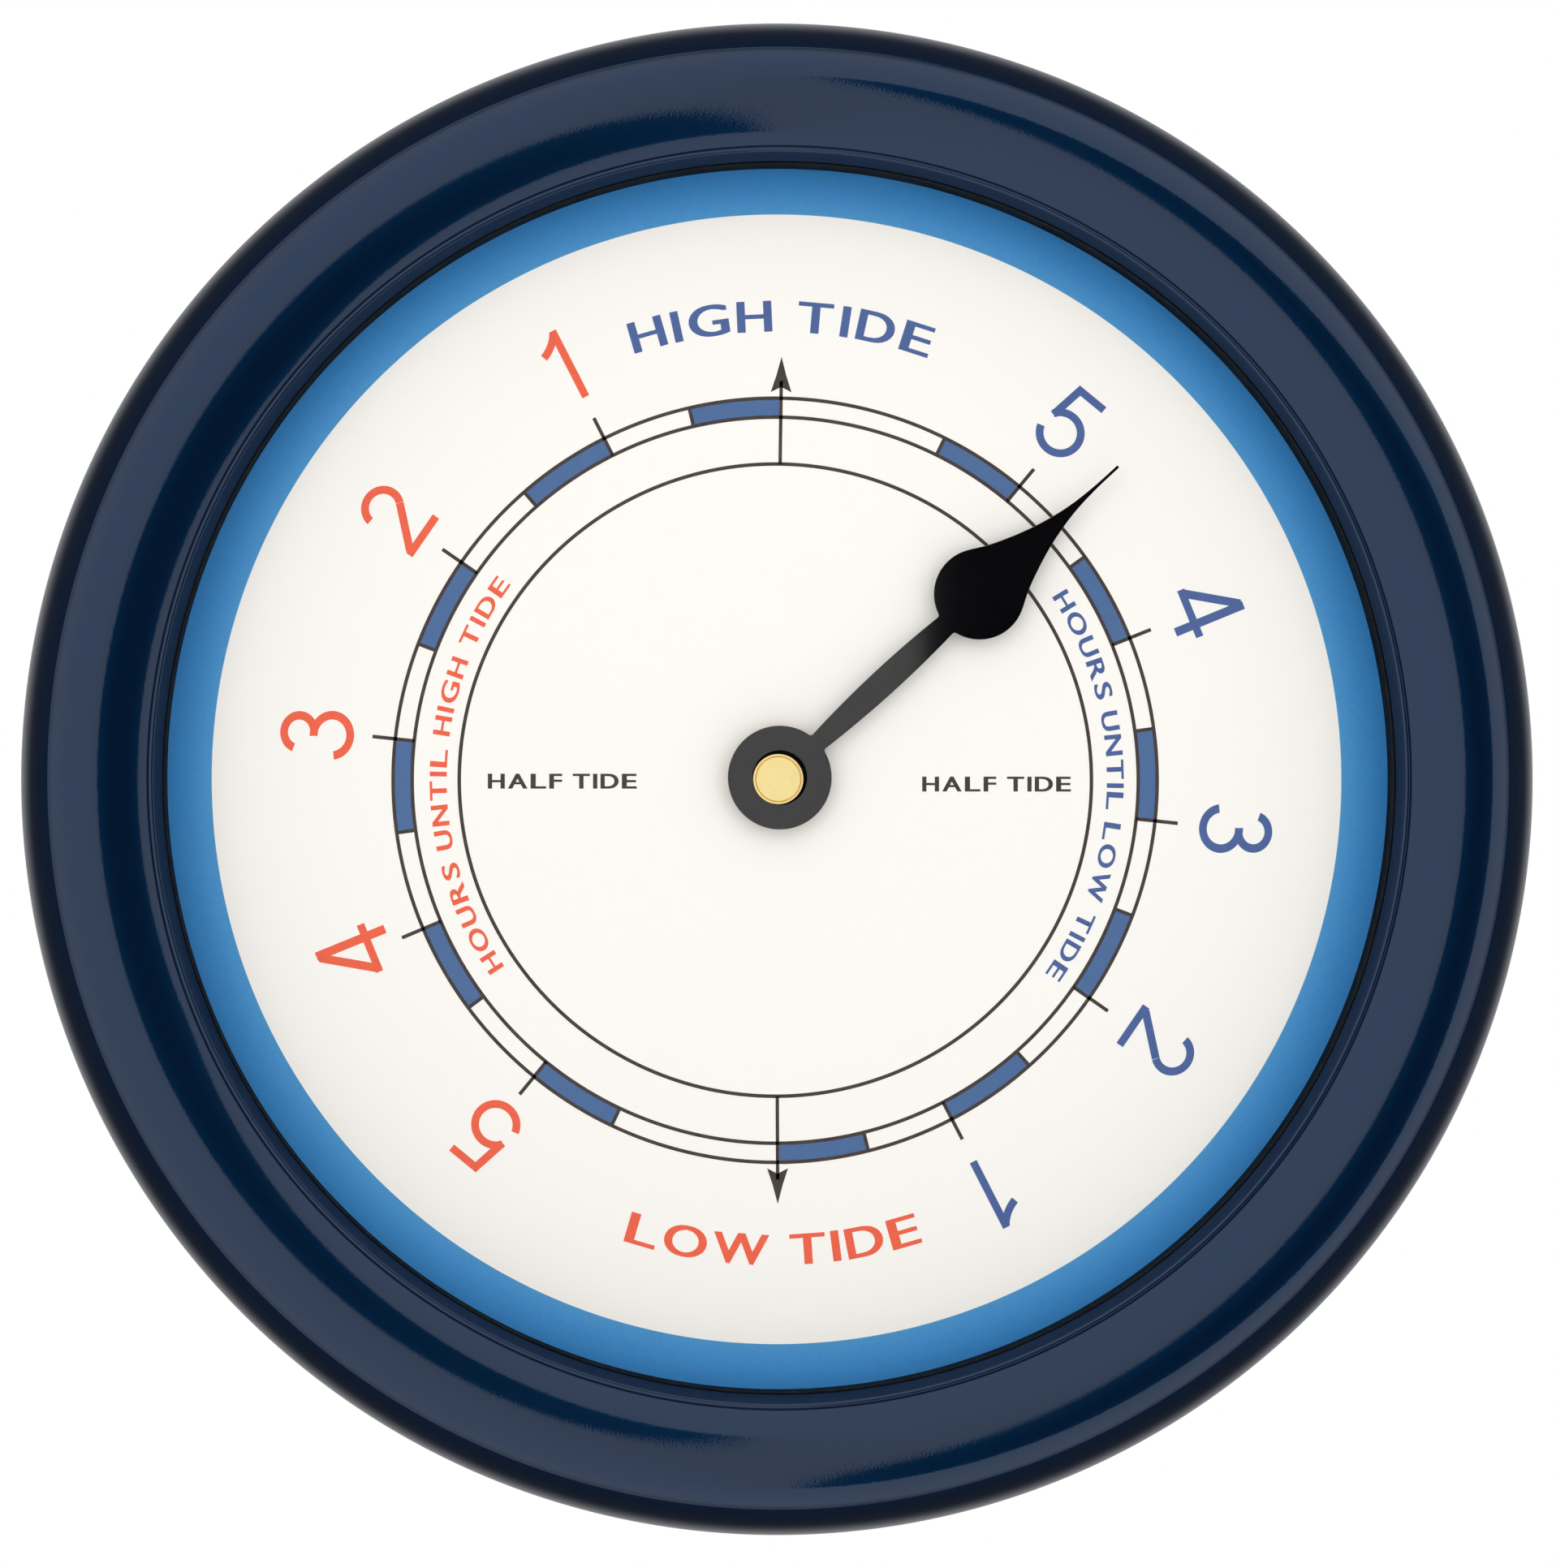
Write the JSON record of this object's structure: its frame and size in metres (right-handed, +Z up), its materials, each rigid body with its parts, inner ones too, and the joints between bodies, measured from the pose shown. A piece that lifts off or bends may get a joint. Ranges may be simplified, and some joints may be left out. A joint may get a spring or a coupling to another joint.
{
  "type": "tide clock",
  "caption": "Round wall clock for the tide: deep glossy domed rim, flat glass, printed dial, one spade hand on a geared battery movement, black back cover with a keyhole.",
  "frame": {"origin": "on the dial's axis, in the plane of the wall that the rim's back edge rests on", "axes": "+X to the right seen from the front, +Y from the clock into the wall, +Z up; the dial faces -Y"},
  "size_m": [0.254, 0.0395, 0.254],
  "materials": {
    "frame": "gloss",
    "steel": "zinc plated",
    "glass": "clear",
    "black_rubber": "matt",
    "dial_white": "printed satin",
    "hardboard": "pressed fibreboard",
    "black_plastic": "fine texture",
    "natural_plastic": "moulded",
    "brass": "turned",
    "copper": "enamelled wire",
    "board_green": "solder mask",
    "magnet": "sintered",
    "tin": "plated",
    "sleeve": "plain shrink sleeve",
    "hand_black": "satin black"
  },
  "bodies": {
    "clock": {"frame": "frame", "mounting_tabs": "steel", "cover_screws": "steel", "lens": "glass", "lens_gasket": "black_rubber", "dial_spacer": "black_rubber", "dial": "dial_white", "backing_board": "hardboard", "back_cover": "black_plastic", "movement_case_front": "black_plastic", "movement_case_back": "black_plastic", "threaded_bushing": "brass", "rubber_washer": "black_rubber", "dial_washer": "brass", "hex_nut": "brass", "train_plate": "natural_plastic", "stator": "steel", "coil_bobbin": "natural_plastic", "coil_winding": "copper", "circuit_board": "board_green", "chip": "black_plastic", "quartz_crystal": "tin", "positive_contact": "steel", "negative_contact": "steel"},
    "tide_hand": {"hour_wheel": "natural_plastic", "hand_collet": "brass", "hand_blade": "hand_black"},
    "setting_arbor": {"centre_arbor": "steel", "clutch_spring": "brass", "cannon_pinion": "brass", "setting_knob": "natural_plastic"},
    "motion_wheel": {"minute_wheel": "natural_plastic"},
    "rotor": {"rotor_pinion": "natural_plastic", "rotor_magnet": "magnet"},
    "intermediate_arbor": {"intermediate_wheel": "natural_plastic"},
    "fourth_arbor": {"fourth_wheel": "natural_plastic"},
    "third_arbor": {"third_wheel": "natural_plastic"},
    "driving_wheel": {"centre_wheel": "natural_plastic"},
    "battery": {"battery_can": "tin", "battery_sleeve": "sleeve"}
  },
  "joints": [
    {"name": "hand_turn", "type": "hinge", "parent": "clock", "child": "tide_hand", "pos_m": [0, -0.01, 0], "axis": [0, 1, 0], "continuous": true},
    {"name": "arbor_turn", "type": "hinge", "parent": "clock", "child": "setting_arbor", "pos_m": [0, -0.01, 0], "axis": [0, 1, 0], "continuous": true},
    {"name": "motion_turn", "type": "hinge", "parent": "clock", "child": "motion_wheel", "pos_m": [-0.0078, -0.01, 0], "axis": [0, 1, 0], "continuous": true},
    {"name": "rotor_spin", "type": "hinge", "parent": "clock", "child": "rotor", "pos_m": [0.01807, -0.01, 0.00041], "axis": [0, 1, 0], "continuous": true},
    {"name": "intermediate_spin", "type": "hinge", "parent": "clock", "child": "intermediate_arbor", "pos_m": [0.01653, -0.01, 0.00614], "axis": [0, 1, 0], "continuous": true},
    {"name": "fourth_spin", "type": "hinge", "parent": "clock", "child": "fourth_arbor", "pos_m": [0.01108, -0.01, 0.00929], "axis": [0, 1, 0], "continuous": true},
    {"name": "third_spin", "type": "hinge", "parent": "clock", "child": "third_arbor", "pos_m": [0.006, -0.01, 0.00503], "axis": [0, 1, 0], "continuous": true},
    {"name": "driving_spin", "type": "hinge", "parent": "clock", "child": "driving_wheel", "pos_m": [0, -0.01, 0], "axis": [0, 1, 0], "continuous": true},
    {"name": "battery_slide", "type": "slide", "parent": "clock", "child": "battery", "axis": [0, 1, 0], "range_m": [0, 0.028]}
  ],
  "couplings": [
    {"joint": "arbor_turn", "follows": "hand_turn", "ratio": 12.421},
    {"joint": "motion_turn", "follows": "hand_turn", "ratio": -4},
    {"joint": "intermediate_spin", "follows": "rotor_spin", "ratio": -0.2},
    {"joint": "fourth_spin", "follows": "rotor_spin", "ratio": 0.033333},
    {"joint": "third_spin", "follows": "rotor_spin", "ratio": -0.0044444},
    {"joint": "driving_spin", "follows": "rotor_spin", "ratio": 0.00055556}
  ]
}
